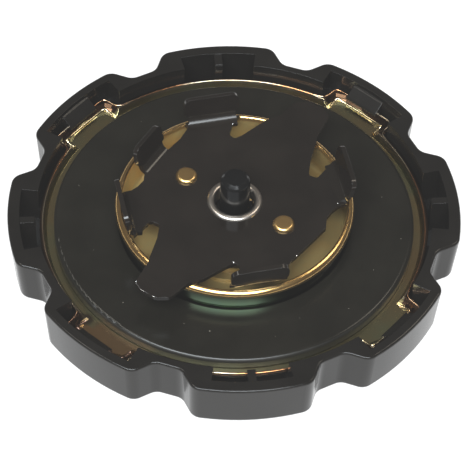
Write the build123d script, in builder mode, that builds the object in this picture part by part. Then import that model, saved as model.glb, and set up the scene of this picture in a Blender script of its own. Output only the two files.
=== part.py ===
from build123d import *
from math import sin, cos, tan, radians, degrees, atan2, hypot
import os

os.makedirs("parts", exist_ok=True)

# Fuel filler cap, modelled as it lies on its hand face with the bayonet side up.
# Millimetres.  +Z points from the hand face towards the tank.  The origin is the
# centre of the hand face.  Lobes sit on the axes and on the diagonals.

# ---------------------------------------------------------------- dimensions
# knob
KNOB_R = 53.25           # over the lobes, at the open rim
KNOB_H = 12.62           # hand face to open rim
KNOB_DRAFT = 0.980       # outline at the hand face against the rim
N_LOBES = 8
NOTCH_R = 48.53          # depth of the grip notches
NOTCH_W0 = 3.17          # notch half width at its floor
NOTCH_SLOPE = 0.937      # growth of that half width per mm outwards
LOBE_FILLET = 3.2
RIM_ROUND = 0.55
HAND_ROUND = 0.9
CROWN_T = 2.0            # wall of the hand face
BORE_R = 46.5            # bore that takes the dish
SHOULDER_R = 43.0        # bore under the shoulder that the dish sits on
POCKET_R = 50.4          # cardinal lobe pockets, outer side
POCKET_HALF = 10.5       # degrees
LUG_POCKET_R = 50.9
LUG_POCKET_HALF = 12.6
RIB_W = 1.9
RIB_R0 = 46.6
HOOK_R = 47.8            # nose of the snap hooks
HOOK_HALF = 4.45         # half length
HOOK_NOSE = 9.6          # top of the nose; the lead-in rises from it
HOOK_TOP = 11.32         # top of the lead-in, below the rim
# dish
DISH_Z0, DISH_Z1 = 6.0, 7.0
DISH_R = 44.1            # edge of the flat floor
DISH_TOP = 8.65
DISH_SLOPE = 28.6        # lean of the upstand, degrees from vertical
LUG_R = 48.3
LUG_TOP = 8.4            # edge of the lugs
LUG_SLOPE = 38.0
LUG_HALF_W = 7.4
# gasket
GASKET_R0, GASKET_R1 = 27.3, 42.4
GASKET_TOP = 9.8
# cup
CUP_T = 0.8
CUP_R = 27.2             # outside of the wall
LIP_R0, LIP_R1 = 26.65, 28.1   # rim turned outwards: inner edge and outermost point
LIP_TOP, LIP_LOW = 15.75, 13.5
# valve housing
HSG_R, HSG_T, HSG_FLANGE_R = 16.0, 0.8, 18.0
HSG_TOP = 14.7
# bayonet plate
PLATE_T = 1.1
PLATE_FLAT_R = 16.0
PLATE_RISE = 0.10        # rise per mm of radius outside the flat
TAB_AZ = 7.7             # first of four upturned tabs, 90 degrees apart
TAB_W = 13.4             # upright part
TAB_NECK = 11.6          # at the bend, between two relief corners
TAB_D = 25.7             # bend, from the axis
TAB_LEAN = 1.3
TAB_TOP = 23.0
STOP_AZ = 143.3
STOP_W = 10.6
STOP_NECK = 8.8
STOP_D = 23.2
STOP_LEAN = 1.5
STOP_TOP = 23.0
RIVET_R, RIVET_AZ = 13.45, 143.0
# eyelet and vent valve
EYE_OD, EYE_ID = 13.0, 9.6
EYE_TOP = 16.45
PIN_D = 7.0
PIN_TOP = 24.0
SPINDLE_D = 3.0
GUIDE_D = 3.1
BUSH_Z0 = 5.8            # valve seat face
BUSH_Z1 = 9.2            # spring seat face
VALVE_TRAVEL = 1.0


def pol(r, a):
    return (r * cos(radians(a)), r * sin(radians(a)))


def vplane(a):
    """Upright plane through the axis at azimuth a: local x is radial, local y is +Z."""
    c, s = cos(radians(a)), sin(radians(a))
    return Plane(origin=(0, 0, 0), x_dir=(c, s, 0), z_dir=(s, -c, 0))


def sector(r0, r1, a0, a1):
    """Closed outline of an annular sector as four points on two arcs."""
    am = (a0 + a1) / 2
    with BuildLine() as ln:
        ThreePointArc(pol(r1, a0), pol(r1, am), pol(r1, a1))
        Line(pol(r1, a1), pol(r0, a1))
        Line(pol(r0, a1), pol(r0, a0))
        Line(pol(r0, a0), pol(r1, a0))
    return ln.line


# ---------------------------------------------------------------- knob shell
def notch_points(s):
    return [
        (0, NOTCH_W0 * s),
        (0, -NOTCH_W0 * s),
        (8 * s, -(NOTCH_W0 + 8 * NOTCH_SLOPE) * s),
        (8 * s, (NOTCH_W0 + 8 * NOTCH_SLOPE) * s),
    ]


with BuildSketch(Plane.XY) as knob_foot:
    Circle(KNOB_R * KNOB_DRAFT)
    with PolarLocations(NOTCH_R * KNOB_DRAFT, N_LOBES, start_angle=22.5):
        Polygon(*notch_points(KNOB_DRAFT), align=None, mode=Mode.SUBTRACT)
    fillet(knob_foot.vertices(), LOBE_FILLET * KNOB_DRAFT)

with BuildSketch(Plane.XY.offset(KNOB_H)) as knob_rim:
    Circle(KNOB_R)
    with PolarLocations(NOTCH_R, N_LOBES, start_angle=22.5):
        Polygon(*notch_points(1.0), align=None, mode=Mode.SUBTRACT)
    fillet(knob_rim.vertices(), LOBE_FILLET)

with BuildPart() as knob_shell:
    add(knob_foot.sketch)
    add(knob_rim.sketch)
    loft(ruled=True)
    fillet(knob_shell.faces().sort_by(Axis.Z)[-1].edges(), RIM_ROUND)
    fillet(knob_shell.faces().sort_by(Axis.Z)[0].edges(), HAND_ROUND)
    # bore for the dish, and the narrower bore under its shoulder
    with BuildSketch(Plane.XY.offset(DISH_Z0)):
        Circle(BORE_R)
    extrude(amount=KNOB_H, mode=Mode.SUBTRACT)
    with BuildSketch(Plane.XY.offset(CROWN_T)):
        Circle(SHOULDER_R)
    extrude(amount=KNOB_H, mode=Mode.SUBTRACT)
    # pockets of the four cardinal lobes
    with BuildSketch(Plane.XY.offset(CROWN_T + 0.4)):
        for a in (0, 90, 180, 270):
            make_face(sector(44.0, POCKET_R, a - POCKET_HALF, a + POCKET_HALF).edges())
    extrude(amount=KNOB_H, mode=Mode.SUBTRACT)
    # pockets of the four diagonal lobes, which take the dish's lugs
    with BuildSketch(Plane.XY.offset(DISH_Z0)):
        for a in (45, 135, 225, 315):
            make_face(sector(44.0, LUG_POCKET_R, a - LUG_POCKET_HALF, a + LUG_POCKET_HALF).edges())
    extrude(amount=KNOB_H, mode=Mode.SUBTRACT)
    # one radial rib in each cardinal pocket
    for a in (0, 90, 180, 270):
        with BuildSketch(vplane(a)):
            with BuildLine():
                Polyline(
                    (RIB_R0, 2.2), (POCKET_R + 0.4, 2.2), (POCKET_R + 0.4, KNOB_H - 0.25),
                    (RIB_R0 + 0.3, KNOB_H - 0.25), (RIB_R0, KNOB_H - 0.6), close=True,
                )
            make_face()
        extrude(amount=RIB_W / 2, both=True)
    # one snap hook in each diagonal pocket, over the lug's upturned edge
    for a in (45, 135, 225, 315):
        with BuildSketch(vplane(a)):
            with BuildLine():
                Polyline(
                    (LUG_POCKET_R + 0.4, LUG_TOP + 0.1), (HOOK_R + 0.3, LUG_TOP + 0.1),
                    (HOOK_R, LUG_TOP + 0.4), (HOOK_R, HOOK_NOSE - 0.3), (HOOK_R + 0.3, HOOK_NOSE),
                    (LUG_POCKET_R - 0.5, HOOK_TOP), (LUG_POCKET_R + 0.4, HOOK_TOP + 0.3), close=True,
                )
            make_face()
        extrude(amount=HOOK_HALF, both=True)
    # stiffening ribs and boss ring on the inside of the crown
    with BuildSketch(Plane.XY.offset(CROWN_T - 0.2)):
        with PolarLocations(0, 8, start_angle=22.5):
            with Locations((31.5, 0)):
                Rectangle(23.4, 1.6)
        Circle(21.0)
        Circle(19.2, mode=Mode.SUBTRACT)
    extrude(amount=DISH_Z0 - CROWN_T + 0.2 - 0.3)

# ---------------------------------------------------------------- closure dish
def lug_points(a, grow):
    h = LUG_HALF_W + grow
    r = LUG_R + grow
    c, s = cos(radians(a)), sin(radians(a))
    local = ((38.0, -h), (r - 2.6, -h), (r - 1.3, -h + 0.6), (r - 0.45, -h + 2.6), (r, 0),
             (r - 0.45, h - 2.6), (r - 1.3, h - 0.6), (r - 2.6, h), (38.0, h))
    return [(x * c - y * s, x * s + y * c) for x, y in local]


WALL_OUT = 0.2
with BuildPart() as closure_dish:
    # outside: a shallow round tray with four lugs
    with BuildSketch(Plane.XY.offset(DISH_Z0)):
        Circle(DISH_R + WALL_OUT)
    extrude(amount=DISH_TOP - DISH_Z0, taper=-DISH_SLOPE)
    for a in (45, 135, 225, 315):
        with BuildSketch(Plane.XY.offset(DISH_Z0)):
            Polygon(*lug_points(a, WALL_OUT), align=None)
        extrude(amount=LUG_TOP - DISH_Z0, taper=-LUG_SLOPE)
    # inside: the same form, one sheet thickness up
    with BuildSketch(Plane.XY.offset(DISH_Z1)):
        Circle(DISH_R)
    extrude(amount=DISH_TOP - DISH_Z1, taper=-DISH_SLOPE, mode=Mode.SUBTRACT)
    for a in (45, 135, 225, 315):
        # the foot of the lug's wall is pressed to a wide radius, taken here as two slopes
        for z0, z1, grow, lean in ((DISH_Z1, 7.3, -0.78, 66.0), (7.3, 7.8, -0.11, 50.0),
                                   (7.8, LUG_TOP, 0.49, 45.0), (LUG_TOP, DISH_TOP + 0.1, 1.09, 0.0)):
            with BuildSketch(Plane.XY.offset(z0)):
                Polygon(*lug_points(a, grow), align=None)
            extrude(amount=z1 - z0, taper=-lean, mode=Mode.SUBTRACT)
    # centre hole for the seat bush and four rivet holes
    with BuildSketch(Plane.XY.offset(DISH_Z0 - 1)):
        Circle(6.0)
        with PolarLocations(11.6, 4, start_angle=45):
            Circle(1.5)
    extrude(amount=4, mode=Mode.SUBTRACT)

# ---------------------------------------------------------------- sealing gasket
with BuildPart() as sealing_gasket:
    with BuildSketch(Plane.XZ):
        with BuildLine():
            Polyline(
                (GASKET_R0, DISH_Z1), (GASKET_R1, DISH_Z1), (GASKET_R1, GASKET_TOP),
                (GASKET_R0, GASKET_TOP), close=True,
            )
        make_face()
    revolve(axis=Axis.Z)
    fillet(sealing_gasket.edges().filter_by(GeomType.CIRCLE).group_by(Axis.Z)[-1].sort_by(SortBy.RADIUS)[-1], 1.0)
    fillet(sealing_gasket.edges().filter_by(GeomType.CIRCLE).group_by(Axis.Z)[-1].sort_by(SortBy.RADIUS)[0], 0.6)
    fillet(sealing_gasket.edges().filter_by(GeomType.CIRCLE).group_by(Axis.Z)[0], 0.3)

# ---------------------------------------------------------------- retainer cup
CUP_CORNER = 2.0
with BuildPart() as retainer_cup:
    with BuildSketch(Plane.XZ):
        with BuildLine():
            ro, ri = CUP_R, CUP_R - CUP_T
            z0, z1 = DISH_Z1, DISH_Z1 + CUP_T
            co, ci = CUP_CORNER, CUP_CORNER - CUP_T
            k = 1 - cos(radians(45))
            Line((6.0, z0), (ro - co, z0))
            ThreePointArc((ro - co, z0), (ro - co * k, z0 + co * k), (ro, z0 + co))
            Line((ro, z0 + co), (ro, LIP_LOW))
            ThreePointArc((ro, LIP_LOW), (ro + 0.55, LIP_LOW + 0.12), (LIP_R1, LIP_LOW + 0.6))
            ThreePointArc((LIP_R1, LIP_LOW + 0.6), (LIP_R1 - 0.42, LIP_TOP - 0.45), (LIP_R0 + 0.1, LIP_TOP))
            ThreePointArc((LIP_R0 + 0.1, LIP_TOP), (LIP_R0 - 0.1, LIP_TOP - 0.09), (ri, LIP_TOP - 0.45))
            Line((ri, LIP_TOP - 0.45), (ri, z1 + ci))
            ThreePointArc((ri, z1 + ci), (ri - ci * k, z1 + ci * k), (ri - ci, z1))
            Line((ri - ci, z1), (6.0, z1))
            Line((6.0, z1), (6.0, z0))
        make_face()
    revolve(axis=Axis.Z)
    with BuildSketch(Plane.XY.offset(DISH_Z1 - 1)):
        with PolarLocations(11.6, 4, start_angle=45):
            Circle(1.5)
    extrude(amount=4, mode=Mode.SUBTRACT)

# ---------------------------------------------------------------- rivets, cup to dish
with BuildPart() as cup_rivets:
    with BuildSketch(Plane.XY.offset(DISH_Z0 - 0.5)):
        with PolarLocations(11.6, 4, start_angle=45):
            Circle(2.1)
    extrude(amount=0.5)
    with BuildSketch(Plane.XY.offset(DISH_Z0)):
        with PolarLocations(11.6, 4, start_angle=45):
            Circle(1.48)
    extrude(amount=DISH_Z1 + CUP_T - DISH_Z0)
    with BuildSketch(Plane.XY.offset(DISH_Z1 + CUP_T)):
        with PolarLocations(11.6, 4, start_angle=45):
            Circle(2.3)
    extrude(amount=0.7, taper=15)

# ---------------------------------------------------------------- valve housing
with BuildPart() as valve_housing:
    z0 = DISH_Z1 + CUP_T
    with BuildSketch(Plane.XZ):
        with BuildLine():
            Polyline(
                (EYE_ID / 2 + 0.62, HSG_TOP - HSG_T), (HSG_R - HSG_T, HSG_TOP - HSG_T), (HSG_R - HSG_T, z0),
                (HSG_FLANGE_R, z0), (HSG_FLANGE_R, z0 + HSG_T), (HSG_R, z0 + HSG_T),
                (HSG_R, HSG_TOP), (EYE_ID / 2 + 0.62, HSG_TOP), close=True,
            )
        make_face()
    revolve(axis=Axis.Z)
    fillet(valve_housing.edges().filter_by(GeomType.CIRCLE).group_by(Axis.Z)[-1].sort_by(SortBy.RADIUS)[-1], 1.4)
    with BuildSketch(Plane.XY.offset(HSG_TOP - 3)):
        with PolarLocations(RIVET_R, 2, start_angle=RIVET_AZ):
            Circle(1.5)
    extrude(amount=6, mode=Mode.SUBTRACT)
    # vent ports in the housing wall
    for a in (30, 150, 270):
        with BuildSketch(Plane(origin=(0, 0, 11.2), x_dir=(-sin(radians(a)), cos(radians(a)), 0),
                               z_dir=(cos(radians(a)), sin(radians(a)), 0))):
            SlotOverall(5.0, 1.8)
        extrude(amount=20, mode=Mode.SUBTRACT)

# ---------------------------------------------------------------- bayonet plate
HALF = [
    (25.97, -3.30), (24.17, 10.08), (21.90, 7.50), (19.90, 5.30), (18.00, 6.60), (18.90, 10.90),
    (20.90, 16.60), (21.40, 18.30), (24.70, 24.00), (23.60, 26.30), (20.40, 28.90), (17.10, 29.00),
    (12.80, 25.10), (9.20, 23.80), (3.40, 19.90), (1.50, 19.10), (0.30, 20.30), (1.50, 23.60),
    (3.30, 25.97), (-10.08, 24.17), (-9.30, 22.80), (-11.40, 19.50), (-13.60, 17.20),
    (-20.40, 10.10), (-20.90, 7.00), (-22.30, 5.20), (-23.90, 3.90),
]
SOFT = {3: 0.8, 4: 0.8, 7: 1.6, 8: 1.4, 9: 1.6, 10: 2.2, 11: 1.8, 12: 1.6, 13: 0.8, 14: 1.2, 15: 0.7,
        16: 0.9, 22: 0.9, 23: 0.8, 24: 0.7}
PLATE_Z0 = HSG_TOP
PLATE_Z1 = HSG_TOP + PLATE_T


def plate_bottom(r):
    return PLATE_Z0 + max(0.0, r - PLATE_FLAT_R) * PLATE_RISE


def tab_profile(d, lean, top):
    """Centre line of an upturned tab: along the sheet, round the bend, then up."""
    zc = plate_bottom(d) + PLATE_T / 2
    return [(d - 2.6, plate_bottom(d - 2.6) + PLATE_T / 2), (d, zc), (d + lean, top)]


TABS = [(TAB_AZ + 90 * k, TAB_D, TAB_LEAN, TAB_TOP, TAB_NECK, TAB_W) for k in range(4)]
TABS.append((STOP_AZ, STOP_D, STOP_LEAN, STOP_TOP, STOP_NECK, STOP_W))

with BuildPart() as bayonet_plate:
    # dished sheet: flat in the middle, rising slightly towards the outside
    with BuildSketch(Plane.XZ):
        with BuildLine():
            r2 = 38.0
            Polyline(
                (0, PLATE_Z0), (PLATE_FLAT_R, PLATE_Z0), (28.0, plate_bottom(28.0)), (r2, plate_bottom(28.0) + 0.35),
                (r2, plate_bottom(28.0) + 0.35 + PLATE_T), (28.0, plate_bottom(28.0) + PLATE_T),
                (PLATE_FLAT_R, PLATE_Z1), (0, PLATE_Z1), close=True,
            )
        make_face()
    revolve(axis=Axis.Z)
    # stamped outline, the same after half a turn
    with BuildSketch(Plane.XY.offset(PLATE_Z0 - 1)) as plate_outline:
        with BuildLine():
            Polyline(*(HALF + [(-x, -y) for x, y in HALF]), close=True)
        make_face()
        for i, rr in SOFT.items():
            for sgn in (1, -1):
                px, py = HALF[i][0] * sgn, HALF[i][1] * sgn
                v = plate_outline.vertices().sort_by_distance((px, py, PLATE_Z0 - 1))[0]
                fillet(v, rr)
    extrude(amount=8, mode=Mode.INTERSECT)
    # four upturned tabs and one narrower stop tab, each wider above its bend
    for a, d, lean, top, neck, wide in TABS:
        with BuildSketch(vplane(a)):
            with BuildLine() as tab_line:
                FilletPolyline(*tab_profile(d, lean, top), radius=1.7)
            trace(tab_line.line, line_width=PLATE_T)
        extrude(amount=neck / 2, both=True)
        zc = plate_bottom(d) + PLATE_T / 2
        low = 2.1 / (top - zc)
        with BuildSketch(vplane(a)):
            with BuildLine() as upright_line:
                Line((d + lean * low, zc + 2.1), (d + lean, top))
            trace(upright_line.line, line_width=PLATE_T)
        extrude(amount=wide / 2, both=True)
    # holes for the eyelet and the two rivets
    with BuildSketch(Plane.XY.offset(PLATE_Z0 - 1)):
        Circle(EYE_ID / 2 + 0.62)
        with PolarLocations(RIVET_R, 2, start_angle=RIVET_AZ):
            Circle(1.5)
    extrude(amount=4, mode=Mode.SUBTRACT)
    # rounded corners of the uprights
    for a, d, lean, top, neck, wide in TABS:
        c, s = cos(radians(a)), sin(radians(a))
        zc = plate_bottom(d) + PLATE_T / 2
        for rr, zz, round_r in ((d + lean, top, 1.9), (d + lean * 2.1 / (top - zc), zc + 2.1, 0.6)):
            for sg in (1, -1):
                q = (rr * c - sg * wide / 2 * s, rr * s + sg * wide / 2 * c, zz)
                fillet(bayonet_plate.edges().sort_by_distance(q)[0:1].filter_by(
                    lambda e: e.length < 1.6), round_r)

# ---------------------------------------------------------------- rivets, plate to housing
with BuildPart() as bayonet_rivets:
    with BuildSketch(Plane.XY.offset(HSG_TOP - HSG_T - 0.7)):
        with PolarLocations(RIVET_R, 2, start_angle=RIVET_AZ):
            Circle(1.75)
    extrude(amount=0.7)
    with BuildSketch(Plane.XY.offset(HSG_TOP - HSG_T)):
        with PolarLocations(RIVET_R, 2, start_angle=RIVET_AZ):
            Circle(1.48)
    extrude(amount=PLATE_Z1 - HSG_TOP + HSG_T)
    with BuildSketch(Plane.XY.offset(PLATE_Z1)):
        with PolarLocations(RIVET_R, 2, start_angle=RIVET_AZ):
            Circle(2.55)
    extrude(amount=0.95)
    fillet(bayonet_rivets.edges().filter_by(GeomType.CIRCLE).group_by(Axis.Z)[-1], 0.8)

# ---------------------------------------------------------------- centre eyelet and its washer
with BuildPart() as centre_eyelet:
    with BuildSketch(Plane.XZ):
        with BuildLine():
            Polyline(
                (EYE_ID / 2, EYE_TOP - 0.3), (EYE_ID / 2, 12.5), (6.3, 12.5), (6.3, 13.1), (EYE_ID / 2 + 0.6, 13.1),
                (EYE_ID / 2 + 0.6, PLATE_Z1), (EYE_OD / 2, PLATE_Z1),
            )
            # rolled rim
            ThreePointArc((EYE_OD / 2, PLATE_Z1), (EYE_OD / 2 - 0.32, EYE_TOP - 0.17), (EYE_OD / 2 - 0.85, EYE_TOP))
            ThreePointArc((EYE_OD / 2 - 0.85, EYE_TOP), (EYE_ID / 2 + 0.3, EYE_TOP - 0.05),
                          (EYE_ID / 2, EYE_TOP - 0.3))
        make_face()
    revolve(axis=Axis.Z)

with BuildPart() as eyelet_washer:
    with BuildSketch(Plane.XY.offset(13.1)):
        Circle(7.4)
        Circle(EYE_ID / 2 + 0.64, mode=Mode.SUBTRACT)
    extrude(amount=HSG_TOP - HSG_T - 13.1)

# ---------------------------------------------------------------- vent valve: seat bush and its seal
with BuildPart() as seat_bush:
    with BuildSketch(Plane.XZ):
        with BuildLine():
            Polyline(
                (GUIDE_D / 2, BUSH_Z0 + 0.5), (4.6, BUSH_Z0 + 0.5), (4.9, BUSH_Z0), (5.95, BUSH_Z0), (5.95, 8.2),
                (8.2, 8.2), (8.2, BUSH_Z1 - 0.2), (8.0, BUSH_Z1), (GUIDE_D / 2, BUSH_Z1), close=True,
            )
        make_face()
    revolve(axis=Axis.Z)
    with BuildSketch(Plane.XY.offset(BUSH_Z0 - 1)):
        with PolarLocations(3.05, 4):
            Circle(0.75)
    extrude(amount=8, mode=Mode.SUBTRACT)

with BuildPart() as bush_washer:
    with BuildSketch(Plane.XY.offset(DISH_Z1 + CUP_T)):
        Circle(8.2)
        Circle(5.97, mode=Mode.SUBTRACT)
    extrude(amount=8.2 - DISH_Z1 - CUP_T)

# ---------------------------------------------------------------- vent valve: moving pieces
STEM_END = 3.5
COLLAR_Z = 12.9
with BuildPart() as valve_stem:
    with BuildSketch(Plane.XZ):
        with BuildLine():
            Polyline(
                (0, STEM_END), (SPINDLE_D / 2 - 0.3, STEM_END), (SPINDLE_D / 2, STEM_END + 0.3),
                (SPINDLE_D / 2, COLLAR_Z), (4.2, COLLAR_Z), (4.2, COLLAR_Z + 0.7), (PIN_D / 2, COLLAR_Z + 0.9),
                (PIN_D / 2, PIN_TOP - 0.9), (PIN_D / 2 - 0.9, PIN_TOP), (0, PIN_TOP), close=True,
            )
        make_face()
    revolve(axis=Axis.Z)
    fillet(valve_stem.edges().filter_by(lambda e: abs(e.center().Z - (PIN_TOP - 0.9)) < 0.05), 0.8)

with BuildPart() as spring_seat:
    with BuildSketch(Plane.XY.offset(COLLAR_Z - 0.5)):
        Circle(4.3)
        Circle(SPINDLE_D / 2 + 0.02, mode=Mode.SUBTRACT)
    extrude(amount=0.5)

SPRING_R, SPRING_WIRE = 3.6, 0.5
sp0 = BUSH_Z1 + SPRING_WIRE / 2 + 0.02
sp1 = COLLAR_Z - 0.5 - SPRING_WIRE / 2 - 0.02
with BuildPart() as valve_spring:
    with BuildLine() as coil:
        Helix(pitch=(sp1 - sp0) / 3.0, height=sp1 - sp0, radius=SPRING_R, center=(0, 0, sp0))
    with BuildSketch(Plane(origin=coil.line @ 0, z_dir=coil.line % 0)):
        Circle(SPRING_WIRE / 2)
    sweep()

with BuildPart() as valve_seal:
    with BuildSketch(Plane.XY.offset(BUSH_Z0 - 0.72)):
        Circle(6.9)
        Circle(SPINDLE_D / 2 + 0.02, mode=Mode.SUBTRACT)
    extrude(amount=0.7)
    fillet(valve_seal.edges().filter_by(GeomType.CIRCLE).sort_by(SortBy.RADIUS)[-2:], 0.2)

with BuildPart() as valve_disc:
    with BuildSketch(Plane.XY.offset(BUSH_Z0 - 1.32)):
        Circle(7.3)
        Circle(SPINDLE_D / 2 + 0.02, mode=Mode.SUBTRACT)
        with PolarLocations(4.0, 3, start_angle=30):
            Circle(0.6, mode=Mode.SUBTRACT)
    extrude(amount=0.6)

with BuildPart() as stem_clip:
    with BuildSketch(Plane.XY.offset(BUSH_Z0 - 1.82)):
        Circle(3.2)
        Circle(SPINDLE_D / 2 + 0.02, mode=Mode.SUBTRACT)
        with PolarLocations(SPINDLE_D / 2 + 0.5, 6):
            Rectangle(1.0, 0.35, mode=Mode.SUBTRACT)
    extrude(amount=0.5)

# ---------------------------------------------------------------- export
NODES = {
    "knob_shell": knob_shell, "closure_dish": closure_dish, "sealing_gasket": sealing_gasket,
    "retainer_cup": retainer_cup, "cup_rivets": cup_rivets, "valve_housing": valve_housing,
    "bayonet_plate": bayonet_plate, "bayonet_rivets": bayonet_rivets, "centre_eyelet": centre_eyelet,
    "eyelet_washer": eyelet_washer, "seat_bush": seat_bush, "bush_washer": bush_washer,
    "valve_stem": valve_stem, "spring_seat": spring_seat, "valve_spring": valve_spring,
    "valve_seal": valve_seal, "valve_disc": valve_disc, "stem_clip": stem_clip,
}
for node_name, builder in NODES.items():
    builder.part.label = node_name
    export_step(builder.part, "parts/" + node_name + ".step")
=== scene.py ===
import bpy
import math
from math import sin, cos, radians, pi
from mathutils import Matrix, Vector


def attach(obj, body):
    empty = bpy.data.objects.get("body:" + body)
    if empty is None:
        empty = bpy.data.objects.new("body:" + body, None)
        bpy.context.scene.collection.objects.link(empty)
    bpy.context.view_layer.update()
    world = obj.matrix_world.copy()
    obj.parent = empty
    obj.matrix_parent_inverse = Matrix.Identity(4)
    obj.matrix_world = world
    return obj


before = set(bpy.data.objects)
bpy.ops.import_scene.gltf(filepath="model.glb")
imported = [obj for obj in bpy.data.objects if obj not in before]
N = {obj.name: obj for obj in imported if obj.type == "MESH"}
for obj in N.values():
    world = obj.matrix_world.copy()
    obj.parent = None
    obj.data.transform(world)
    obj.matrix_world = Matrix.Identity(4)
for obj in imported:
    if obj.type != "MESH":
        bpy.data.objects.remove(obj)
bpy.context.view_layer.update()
MM = 0.001


# ---------------------------------------------------------------- node helpers
class Mat:
    def __init__(self, name):
        self.m = bpy.data.materials.new(name)
        self.m.use_nodes = True
        self.t = self.m.node_tree
        self.t.nodes.clear()
        self.out = self.t.nodes.new("ShaderNodeOutputMaterial")
        self.b = self.t.nodes.new("ShaderNodeBsdfPrincipled")
        self.t.links.new(self.b.outputs[0], self.out.inputs[0])
        self.coord = self.t.nodes.new("ShaderNodeTexCoord").outputs["Object"]

    def put(self, sock, v):
        if isinstance(v, bpy.types.NodeSocket):
            self.t.links.new(v, sock)
        elif isinstance(v, (tuple, list)) and len(v) == 3 and sock.type == "RGBA":
            sock.default_value = (*v, 1.0)
        else:
            sock.default_value = v

    def set(self, **kw):
        for k, v in kw.items():
            self.put(self.b.inputs[k.replace("_", " ")], v)

    def node(self, kind, out=0, props=None, **kw):
        n = self.t.nodes.new(kind)
        for k, v in (props or {}).items():
            setattr(n, k, v)
        for k, v in kw.items():
            key = int(k[1:]) if k[0] == "i" and k[1:].isdigit() else k.replace("_", " ")
            self.put(n.inputs[key], v)
        return n.outputs[out]

    def noise(self, scale, detail=3.0, rough=0.5, vec=None, dist=0.0, out=0):
        return self.node("ShaderNodeTexNoise", out, Vector=vec or self.coord, Scale=scale, Detail=detail,
                         Roughness=rough, Distortion=dist)

    def voronoi(self, scale, feature="F1", vec=None, rand=1.0):
        return self.node("ShaderNodeTexVoronoi", 0, {"feature": feature}, Vector=vec or self.coord, Scale=scale,
                         Randomness=rand)

    def math(self, op, a, b=0.0, c=0.0, clamp=False):
        return self.node("ShaderNodeMath", 0, {"operation": op, "use_clamp": clamp}, i0=a, i1=b, i2=c)

    def rng(self, v, a, b, c, d, kind="LINEAR"):
        n = self.t.nodes.new("ShaderNodeMapRange")
        n.interpolation_type = kind
        n.clamp = True
        for i, x in enumerate((v, a, b, c, d)):
            self.put(n.inputs[i], x)
        return n.outputs[0]

    def mix(self, f, a, b, kind="MIX"):
        n = self.t.nodes.new("ShaderNodeMix")
        n.data_type = "RGBA"
        n.blend_type = kind
        n.clamp_factor = True
        self.put(n.inputs[0], f)
        self.put(n.inputs[6], a)
        self.put(n.inputs[7], b)
        return n.outputs[2]

    def scaled(self, sx, sy, sz):
        return self.node("ShaderNodeMapping", 0, None, Vector=self.coord, Scale=(sx, sy, sz))

    def xyz(self):
        n = self.t.nodes.new("ShaderNodeSeparateXYZ")
        self.t.links.new(self.coord, n.inputs[0])
        return n.outputs

    def polar(self):
        """radius, azimuth (turns) and height of the shading point, in the part's frame"""
        x, y, z = self.xyz()
        r = self.math("SQRT", self.math("ADD", self.math("MULTIPLY", x, x), self.math("MULTIPLY", y, y)))
        a = self.math("DIVIDE", self.math("ARCTAN2", y, x), 2 * pi)
        return r, a, z

    def combine(self, x, y, z):
        return self.node("ShaderNodeCombineXYZ", 0, None, i0=x, i1=y, i2=z)

    def bump(self, height, dist, strength=1.0, normal=None):
        n = self.t.nodes.new("ShaderNodeBump")
        self.put(n.inputs["Strength"], strength)
        self.put(n.inputs["Distance"], dist)
        self.put(n.inputs["Height"], height)
        if normal is not None:
            self.put(n.inputs["Normal"], normal)
        return n.outputs[0]

    def bevel(self, radius):
        return self.node("ShaderNodeBevel", 0, {"samples": 6}, Radius=radius)

    def pointy(self):
        return self.t.nodes.new("ShaderNodeNewGeometry").outputs["Pointiness"]


def give(node, mat):
    o = N[node] if isinstance(node, str) else node
    if not o.material_slots:
        o.data.materials.append(mat.m)
    for s in o.material_slots:
        s.material = mat.m


# ---------------------------------------------------------------- materials
def plastic(name, base, rough, bevel=0.0002, grain=0.000012, ior=1.5):
    m = Mat(name)
    n1 = m.noise(90, 4)
    n2 = m.noise(1800, 3, 0.6)
    lo_c = tuple(c * 0.85 for c in base)
    hi_c = tuple(c * 1.15 for c in base)
    col = m.mix(m.rng(n1, 0.35, 0.65, 0.0, 1.0), lo_c, hi_c)
    m.set(Base_Color=col, Roughness=m.rng(n1, 0.3, 0.7, *rough), IOR=ior)
    m.set(Normal=m.bump(n2, grain, 0.5, m.bevel(bevel)))
    return m


def metal(name, a, b, rough, bevel=0.00015, coat=0.0, coat_rough=0.08):
    m = Mat(name)
    n1 = m.noise(140, 5, 0.6, dist=0.6)
    n2 = m.noise(3000, 3)
    col = m.mix(m.rng(n1, 0.35, 0.65, 0.0, 1.0), a, b)
    m.set(Base_Color=col, Metallic=1.0, Roughness=m.rng(n1, 0.3, 0.7, *rough))
    m.set(Normal=m.bump(n2, 0.000006, 0.5, m.bevel(bevel)))
    if coat:
        m.set(Coat_Weight=coat, Coat_Roughness=coat_rough, Coat_IOR=1.6)
    return m


M_KNOB = plastic("knob_plastic", (0.012, 0.0108, 0.0095), (0.12, 0.18), ior=1.40)
M_RUBBER = plastic("gasket_rubber", (0.0115, 0.0105, 0.0078), (0.18, 0.26), 0.00002, ior=1.47)
m = M_RUBBER
r_, a_, z_ = m.polar()
n1 = m.noise(90, 4)
m.set(Roughness=m.math("ADD", m.rng(n1, 0.3, 0.7, 0.18, 0.26), m.rng(r_, 0.04195, 0.0421, 0.0, 0.3)))
M_DISH = Mat("dish_steel")
m = M_DISH
r_, a_, z_ = m.polar()
n1 = m.noise(140, 5, 0.6, dist=0.6)
n2 = m.noise(28, 4, 0.6)
edge = m.rng(z_, 0.0079, 0.0083, 0.0, 1.0, "SMOOTHSTEP")
olive = m.mix(m.rng(n1, 0.35, 0.65, 0.0, 1.0), (0.66, 0.56, 0.27), (0.48, 0.49, 0.27))
olive = m.mix(m.rng(n2, 0.5, 0.72, 0.0, 0.75), olive, (0.72, 0.44, 0.18))
# painted shade: the outer slopes of the dish rim and lugs are darkened to near black and have no coat
painted_shade_slopes = m.math("MULTIPLY", m.rng(r_, 0.0451, 0.0454, 0.0, 1.0), m.rng(z_, 0.00728, 0.00738, 0.0, 1.0), clamp=True)
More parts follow.
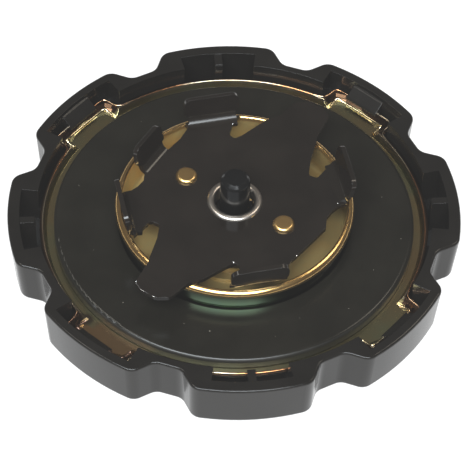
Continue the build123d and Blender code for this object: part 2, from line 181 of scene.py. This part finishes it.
tone_and_painted_light = m.mix(edge, olive, (0.80, 0.66, 0.46))
# painted reflection: a warm orange sector over about 215-240 degrees, at the lug at 225 degrees, stands in for bounced
# light
start = m.math("ADD", a_, m.rng(r_, 0.0452, 0.0456, 0.0, 0.016))
painted_reflection_sector = m.math("MULTIPLY", m.rng(start, -0.395, -0.386, 0.0, 1.0, "SMOOTHSTEP"), m.rng(a_, -0.345, -0.325, 1.0, 0.0, "SMOOTHSTEP"))
painted_reflection_sector = m.math("MULTIPLY", painted_reflection_sector, m.rng(r_, 0.0424, 0.0428, 0.0, 0.85))
tone_and_painted_light = m.mix(painted_reflection_sector, tone_and_painted_light, m.mix(m.rng(n2, 0.35, 0.65, 0.0, 1.0), (0.80, 0.46, 0.20), (0.64, 0.42, 0.22)))
# painted shade: a dark patch near (-36.1, -26.2) mm, at the 216 degree end of the lug at 225 degrees, hides a glint
x_, y_, zz_ = m.xyz()
dx, dy = m.math("ADD", x_, 0.0361), m.math("ADD", y_, 0.0262)
painted_shade_spot = m.math("SQRT", m.math("ADD", m.math("MULTIPLY", dx, dx), m.math("MULTIPLY", dy, dy)))
tone_and_painted_light = m.mix(m.rng(painted_shade_spot, 0.0012, 0.0020, 0.8, 0.0), tone_and_painted_light, (0.16, 0.10, 0.06))
m.set(Base_Color=m.mix(painted_shade_slopes, tone_and_painted_light, (0.10, 0.055, 0.03)), Metallic=1.0)
m.set(Roughness=m.rng(n1, 0.3, 0.7, 0.18, 0.26), Coat_Weight=m.rng(painted_shade_slopes, 0.0, 1.0, 0.5, 0.0), Coat_Roughness=0.08, Coat_IOR=1.6)
m.set(Normal=m.bump(m.noise(3000, 3), 0.000006, 0.5, m.bevel(0.0002)))
M_RIVET = metal("rivet_steel", (1.0, 0.66, 0.26), (0.95, 0.62, 0.24), (0.28, 0.38), coat=0.6)
M_PLATE = plastic("plate_enamel", (0.0135, 0.0108, 0.0088), (0.09, 0.15), 0.00015, 0.000005)
M_EYE = metal("eyelet_steel", (0.84, 0.77, 0.70), (0.79, 0.73, 0.66), (0.25, 0.35))
M_BRASS = metal("bush_brass", (0.7, 0.52, 0.25), (0.6, 0.45, 0.2), (0.2, 0.3))
M_SPRING = metal("spring_steel", (0.5, 0.5, 0.5), (0.42, 0.42, 0.42), (0.2, 0.3))
M_STEM = plastic("stem_plastic", (0.006, 0.006, 0.006), (0.14, 0.2), 0.0003, 0.000004, 1.33)

# the cup: satin gold passivate inside, smoother and greener on the drawn outer wall
M_CUP = Mat("cup_steel")
m = M_CUP
r_, a_, z_ = m.polar()
outside = m.math("MULTIPLY", m.rng(r_, 0.02695, 0.02715, 0.0, 1.0), m.rng(z_, 0.0150, 0.0142, 0.0, 1.0), clamp=True)
n1 = m.noise(140, 5, 0.6, dist=0.6)
inner = m.mix(m.rng(n1, 0.35, 0.65, 0.0, 1.0), (0.87, 0.60, 0.21), (0.79, 0.60, 0.24))
outer = m.mix(m.rng(n1, 0.35, 0.65, 0.0, 1.0), (0.30, 0.44, 0.25), (0.25, 0.40, 0.26))
lip = m.math("MULTIPLY", m.rng(r_, 0.0262, 0.0265, 0.0, 1.0), m.rng(z_, 0.0142, 0.0147, 0.0, 1.0), clamp=True)
# painted light: the inside is paler around 144 degrees and darker elsewhere, standing in for how light falls into the
# bowl; the outer wall carries a painted reflection and painted shade below
tone_and_painted_light = m.math("COSINE", m.math("MULTIPLY", m.math("SUBTRACT", a_, 0.399), 2 * pi))
tone_and_painted_light = m.math("POWER", m.rng(tone_and_painted_light, -1.0, 1.0, 0.0, 1.0), 3.0)
inner = m.mix(tone_and_painted_light, m.mix(m.rng(n1, 0.35, 0.65, 0.0, 1.0), (0.45, 0.31, 0.115), (0.41, 0.32, 0.13)), inner)
lip_c = m.mix(lip, inner, (0.95, 0.62, 0.24))
# painted reflection and painted shade: the outer wall keeps its green only near the foot on the side at about 265
# degrees, and goes near black higher up and round the sides
painted_glow_mask = m.math("MULTIPLY", m.rng(z_, 0.0102, 0.0134, 1.0, 0.2, "SMOOTHSTEP"),
              m.rng(m.math("ABSOLUTE", m.math("ADD", a_, 0.264)), 0.022, 0.085, 1.0, 0.15, "SMOOTHSTEP"))
outer = m.mix(painted_glow_mask, (0.05, 0.05, 0.035), outer)
m.set(Base_Color=m.mix(outside, lip_c, outer))
m.set(Metallic=m.rng(m.math("MAXIMUM", outside, lip), 0.0, 1.0, 0.6, 1.0))
m.set(Roughness=m.mix(outside, m.mix(lip, m.mix(n1, (0.42, 0.42, 0.42), (0.56, 0.56, 0.56)), (0.2, 0.2, 0.2)),
                      (0.1, 0.1, 0.1)))
m.set(Coat_Weight=m.rng(outside, 0.0, 1.0, 0.5, 0.0), Coat_Roughness=0.1, Coat_IOR=1.5)
m.set(Normal=m.bump(m.noise(3000, 3), 0.000006, 0.5, m.bevel(0.00015)))

for n, m in {
    "knob_shell": M_KNOB, "closure_dish": M_DISH, "sealing_gasket": M_RUBBER, "retainer_cup": M_CUP,
    "cup_rivets": M_RIVET, "valve_housing": M_CUP, "bayonet_plate": M_PLATE, "bayonet_rivets": M_RIVET,
    "centre_eyelet": M_EYE, "eyelet_washer": M_EYE, "seat_bush": M_BRASS, "bush_washer": M_RUBBER,
    "valve_stem": M_STEM, "spring_seat": M_SPRING, "valve_spring": M_SPRING, "valve_seal": M_RUBBER,
    "valve_disc": M_EYE, "stem_clip": M_SPRING,
}.items():
    give(n, m)


def mesh(name, verts, faces, mat, body="cap", smooth=True):
    me = bpy.data.meshes.new(name)
    me.from_pydata([Vector(v) * MM for v in verts], [], faces)
    me.update()
    for p in me.polygons:
        p.use_smooth = smooth
    o = bpy.data.objects.new(name, me)
    bpy.context.scene.collection.objects.link(o)
    me.materials.append(mat.m)
    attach(o, body)
    return o


def tube(name, path, rad, mat, closed=False, sides=10, body="cap"):
    """A round bead along a path of points in millimetres."""
    pts = [Vector(q) for q in path]
    n = len(pts)
    verts, faces = [], []
    for i, q in enumerate(pts):
        a = pts[(i - 1) % n] if closed or i else q
        b = pts[(i + 1) % n] if closed or i < n - 1 else q
        d = (b - a).normalized()
        side = d.cross(Vector((0, 0, 1))).normalized()
        up_ = side.cross(d)
        for k in range(sides):
            t = 2 * pi * k / sides
            verts.append(q + (side * cos(t) + up_ * sin(t)) * rad)
    for i in range(n if closed else n - 1):
        j = (i + 1) % n
        for k in range(sides):
            m_ = (k + 1) % sides
            faces.append((i * sides + k, j * sides + k, j * sides + m_, i * sides + m_))
    if not closed:
        faces.append(tuple(range(sides))[::-1])
        faces.append(tuple((n - 1) * sides + k for k in range(sides)))
    return mesh(name, verts, faces, mat, body)


def smooth_path(pts, closed=False, steps=5):
    """Catmull-Rom through the points."""
    n, out = len(pts), []
    for i in range(n if closed else n - 1):
        p0, p1, p2, p3 = (Vector(pts[j % n] if closed else pts[max(0, min(n - 1, j))]) for j in (i - 1, i, i + 1, i + 2))
        for k in range(steps):
            t = k / steps
            out.append(0.5 * (2 * p1 + (p2 - p0) * t + (2 * p0 - 5 * p1 + 4 * p2 - p3) * t * t
                              + (3 * p1 - p0 - 3 * p2 + p3) * t ** 3))
    if not closed:
        out.append(Vector(pts[-1]))
    return out


M_EDGE = Mat("burnished_edge")
m = M_EDGE
r_, a_, z_ = m.polar()
# painted shade: the bead is darkened over an azimuth window of about 212-228 degrees, at the lug at 225 degrees
painted_shade_window = m.math("MULTIPLY", m.rng(a_, -0.412, -0.406, 0.0, 1.0), m.rng(a_, -0.372, -0.36, 1.0, 0.0))
shine = m.mix(m.rng(m.noise(70, 3), 0.45, 0.62, 0.0, 1.0), (0.98, 0.86, 0.66), (0.85, 0.42, 0.2))
m.set(Base_Color=m.mix(painted_shade_window, shine, (0.42, 0.27, 0.2)), Metallic=1.0,
      Roughness=m.rng(m.noise(400, 3), 0.3, 0.7, 0.14, 0.26))
M_FOLD = Mat("fold_steel")
m = M_FOLD
m.set(Base_Color=m.mix(m.rng(m.noise(60, 3), 0.5, 0.66, 0.0, 1.0), (1.0, 0.86, 0.56), (0.9, 0.5, 0.22)), Metallic=1.0,
      Roughness=m.rng(m.noise(400, 3), 0.3, 0.7, 0.16, 0.28))
# painted shade: a darker copy of the fold steel, for the fold bead on the lug at 225 degrees
M_FOLD_PAINTED_SHADE = Mat("fold_steel_painted_shade")
m = M_FOLD_PAINTED_SHADE
m.set(Base_Color=m.mix(m.rng(m.noise(60, 3), 0.5, 0.66, 0.0, 1.0), (0.42, 0.28, 0.23), (0.22, 0.13, 0.08)), Metallic=1.0,
      Roughness=m.rng(m.noise(400, 3), 0.3, 0.7, 0.2, 0.32))


def around(u, w, az, z):
    c, s_ = cos(radians(az)), sin(radians(az))
    return (u * c - w * s_, u * s_ + w * c, z)


TOP = [(44.35, 9.95, 8.6), (45.2, 9.05, 8.5), (46.2, 8.8, 8.42), (47.4, 8.68, 8.42), (48.6, 8.45, 8.42),
       (49.15, 7.6, 8.40), (49.3, 4.8, 8.36)]
TOP = TOP + [(49.4, 0, 8.3)] + [(u, -w, z) for u, w, z in TOP[::-1]]
FOLD = [(44.5, 6.8, 6.95), (46.4, 6.95, 7.2), (47.3, 6.7, 7.6), (47.6, 5.0, 7.25)]
FOLD = FOLD + [(47.75, 0, 7.12)] + [(u, -w, z) for u, w, z in FOLD[::-1]]
ring = []
for k in range(4):
    az = 45 + 90 * k
    ring += [around(u, w, az, z) for u, w, z in TOP[::-1]]
    ring += [(45.1 * cos(radians(az + t)), 45.1 * sin(radians(az + t)), 8.62) for t in range(16, 76, 4)]
    # the bead at the lug at 225 degrees (k == 2) takes the painted-shade copy of the fold steel
    tube("lug_fold_%d" % k, smooth_path([around(u, w, az, z) for u, w, z in FOLD]), 0.36, M_FOLD_PAINTED_SHADE if k == 2 else M_FOLD)
tube("dish_edge", smooth_path(ring, True, 3), 0.2, M_EDGE, True, 8)

M_FILL = Mat("bend_enamel")
M_FILL.set(Base_Color=M_FILL.mix(M_FILL.noise(90, 4), (0.011, 0.0088, 0.007), (0.016, 0.0128, 0.010)), IOR=1.5,
           Roughness=M_FILL.rng(M_FILL.noise(60, 3), 0.3, 0.7, 0.12, 0.2))


def bend_fill(name, az, d, lean, top, neck, rho):
    """The wide inside radius where an upturned tab leaves the sheet."""
    zb = 14.7 + max(0.0, d - 16.0) * 0.10
    zc = zb + 0.55
    u1 = Vector((-1.0, -0.10)).normalized()
    u2 = Vector((lean, top - zc)).normalized()
    n2 = Vector((-u2.y, u2.x))
    p2 = Vector((d, zc)) + n2 * 0.55
    # corner of the two inner faces
    q = Vector((d, zb + 1.1))
    w = p2 - q
    den = u1.x * (-u2.y) + u1.y * u2.x
    t = (w.x * (-u2.y) + w.y * u2.x) / den
    cnr = q + u1 * t
    half = math.acos(max(-1, min(1, u1.dot(u2)))) / 2
    bis = (u1 + u2).normalized()
    cen = cnr + bis * (rho / math.sin(half))
    t1 = cnr + u1 * (rho / math.tan(half))
    t2 = cnr + u2 * (rho / math.tan(half))
    a1 = math.atan2(t1.y - cen.y, t1.x - cen.x)
    a2 = math.atan2(t2.y - cen.y, t2.x - cen.x)
    if a2 - a1 > pi:
        a2 -= 2 * pi
    if a1 - a2 > pi:
        a2 += 2 * pi
    prof = [cen + Vector((cos(a1 + (a2 - a1) * i / 14), sin(a1 + (a2 - a1) * i / 14))) * rho for i in range(15)]
    prof += [t2 - n2 * 0.25, cnr - bis * 0.3, t1 + Vector((0.025, -0.25))]
    ca, sa = cos(radians(az)), sin(radians(az))
    n = len(prof)
    verts = []
    for y in (-neck / 2, neck / 2):
        verts += [(p.x * ca - y * sa, p.x * sa + y * ca, p.y) for p in prof]
    faces = [(i, (i + 1) % n, n + (i + 1) % n, n + i) for i in range(n)]
    faces += [tuple(range(n))[::-1], tuple(range(n, 2 * n))]
    o = mesh(name, verts, faces, M_FILL)
    o.data.set_sharp_from_angle(angle=radians(35))
    return o


def blob(name, at, rad, mat, body="cap", seed=0, squash=0.6):
    """A small rounded grain."""
    import random
    rnd = random.Random(seed)
    verts, faces = [], []
    nu, nv = 8, 5
    for j in range(nv + 1):
        ph = pi * j / nv
        for i in range(nu):
            th = 2 * pi * i / nu
            r = rad * (1 + 0.22 * (rnd.random() - 0.5))
            verts.append((at[0] + r * sin(ph) * cos(th), at[1] + r * sin(ph) * sin(th), at[2] + r * squash * cos(ph)))
    for j in range(nv):
        for i in range(nu):
            faces.append((j * nu + i, (j + 1) * nu + i, (j + 1) * nu + (i + 1) % nu, j * nu + (i + 1) % nu))
    return mesh(name, verts, faces, mat, body)


M_BURR = Mat("bared_steel")
M_BURR.set(Base_Color=M_BURR.mix(M_BURR.noise(900, 2), (0.95, 0.95, 0.95), (0.7, 0.72, 0.75)), Metallic=1.0,
           Roughness=M_BURR.rng(M_BURR.noise(700, 2), 0.3, 0.7, 0.12, 0.22))
for i, (at, rad) in enumerate((
        ((-8.9, 23.7, 16.75), 0.30), ((1.4, 23.4, 16.5), 0.24), ((27.9, 3.5, 16.8), 0.26), ((23.9, -2.9, 16.6), 0.22),
        ((12.8, -17.9, 16.35), 0.24), ((-1.8, -19.0, 16.3), 0.26), ((-25.1, -3.4, 16.8), 0.24), ((-24.6, -8.2, 16.6), 0.2))):
    blob("cut_corner_%d" % i, at, rad, M_BURR, seed=i, squash=0.8)
EAR = [(-24.50, -23.94, 17.2), (-24.49, -24.3, 17.21), (-24.36, -24.66, 17.21), (-24.21, -24.98, 17.22),
       (-24.05, -25.31, 17.23), (-23.74, -25.96, 17.24), (-23.48, -26.33, 17.24), (-23.30, -26.51, 17.24),
       (-22.72, -26.98, 17.24), (-22.14, -27.46, 17.24)]
tube("ear_edge_0", EAR, 0.1, M_BURR, sides=8)
tube("ear_edge_1", [(-21.1, -28.31, 17.24), (-20.97, -28.41, 17.24), (-20.72, -28.59, 17.24), (-20.46, -28.72, 17.23)], 0.09, M_BURR, sides=8)
M_DUST = Mat("dust")
M_DUST.set(Base_Color=M_DUST.mix(M_DUST.noise(600, 2), (0.32, 0.29, 0.24), (0.2, 0.18, 0.15)), Roughness=0.9)
DUST = [(-8.3, -33.5, 0.17), (-14.0, -31.0, 0.1), (6.5, -36.0, 0.09), (31.0, -18.0, 0.1), (-33.5, -8.0, 0.09),
        (-36.0, 12.0, 0.1), (35.5, 4.0, 0.08), (19.0, 33.0, 0.08), (-20.0, 31.5, 0.08), (24.0, -29.0, 0.1),
        (-27.5, -24.0, 0.1), (38.5, -9.0, 0.08), (-3.0, 38.0, 0.08), (12.5, -31.0, 0.08)]
for i, (x, y, r) in enumerate(DUST):
    blob("dust_%d" % i, (x, y, 9.8 + 0.35 * r), r, M_DUST, seed=40 + i)


for k in range(4):
    bend_fill("tab_bend_%d" % k, 7.7 + 90 * k, 25.7, 1.3, 23.0, 11.5, 2.9)
bend_fill("tab_bend_4", 143.3, 23.2, 1.5, 23.0, 8.7, 2.4)

# ---------------------------------------------------------------- stage, light and camera
PHI = radians(6.287)


def plain(name, size, z, colour, emit):
    bpy.ops.mesh.primitive_plane_add(size=size, location=(0, 0, z))
    o = bpy.context.object
    o.name = name
    mt = bpy.data.materials.new(name)
    mt.use_nodes = True
    t = mt.node_tree
    b = t.nodes["Principled BSDF"]
    b.inputs["Base Color"].default_value = (*colour, 1)
    b.inputs["Roughness"].default_value = 0.9
    b.inputs["Emission Color"].default_value = (*colour, 1)
    b.inputs["Emission Strength"].default_value = emit
    o.data.materials.append(mt)
    return o


floor = plain("floor", 6.0, -0.00002, (0.2, 0.2, 0.2), 4.6)

world = bpy.data.worlds.new("world")
bpy.context.scene.world = world
world.use_nodes = True
world.node_tree.nodes["Background"].inputs[0].default_value = (1.0, 0.93, 0.86, 1)
world.node_tree.nodes["Background"].inputs[1].default_value = 0.09


def area(name, az, el, dist, size, power, colour=(1, 1, 1), size_y=None):
    """A soft light looking at the part; az is counted from +X in the photograph's frame."""
    a, e = radians(az) - PHI, radians(el)
    p = Vector((cos(a) * cos(e), sin(a) * cos(e), sin(e))) * dist
    d = bpy.data.lights.new(name, "AREA")
    d.shape = "RECTANGLE"
    d.size, d.size_y = size, size_y or size
    d.energy = power
    d.color = colour
    o = bpy.data.objects.new(name, d)
    bpy.context.scene.collection.objects.link(o)
    o.location = p
    o.rotation_mode = "QUATERNION"
    o.rotation_quaternion = (-p).to_track_quat("-Z", "Y")
    return o


area("key", 256, 57, 1.4, 1.4, 33, (0.90, 0.96, 1.0), 0.62)
area("left", 171, 62, 1.4, 0.36, 1.7, (1.0, 0.95, 0.85), 0.25)
area("side", 30, 56, 1.4, 0.4, 2.0, (1.0, 0.9, 0.75))

cam_d = bpy.data.cameras.new("camera")
cam = bpy.data.objects.new("camera", cam_d)
bpy.context.scene.collection.objects.link(cam)
bpy.context.scene.camera = cam
EL, ROLL, DIST, F_PX = radians(50.055), radians(2.126), 0.64863, 2742.29
back = Vector((0, -cos(EL), sin(EL)))
right = Vector((1, 0, 0))
up = back.cross(right)
r2 = right * cos(ROLL) + up * sin(ROLL)
u2 = -right * sin(ROLL) + up * cos(ROLL)
turn = Matrix.Rotation(-PHI, 3, "Z")
rot = Matrix((turn @ r2, turn @ u2, turn @ back)).transposed()
cam.matrix_world = Matrix.Translation(turn @ (back * DIST) + Vector((0, 0, 0.5 * 12.07 * MM))) @ rot.to_4x4()
cam_d.sensor_width = 36.0
cam_d.lens = F_PX / 470.0 * 36.0
cam_d.shift_x = 1.258 / 470.0
cam_d.shift_y = -7.68 / 470.0
cam_d.clip_start, cam_d.clip_end = 0.01, 20.0
vs = bpy.context.scene.view_settings
vs.view_transform = "Standard"
vs.use_curve_mapping = True
lift = vs.curve_mapping.curves[3]
lift.points[0].location = (0.0, 0.019)
lift.points[1].location = (1.0, 1.0)
vs.curve_mapping.update()
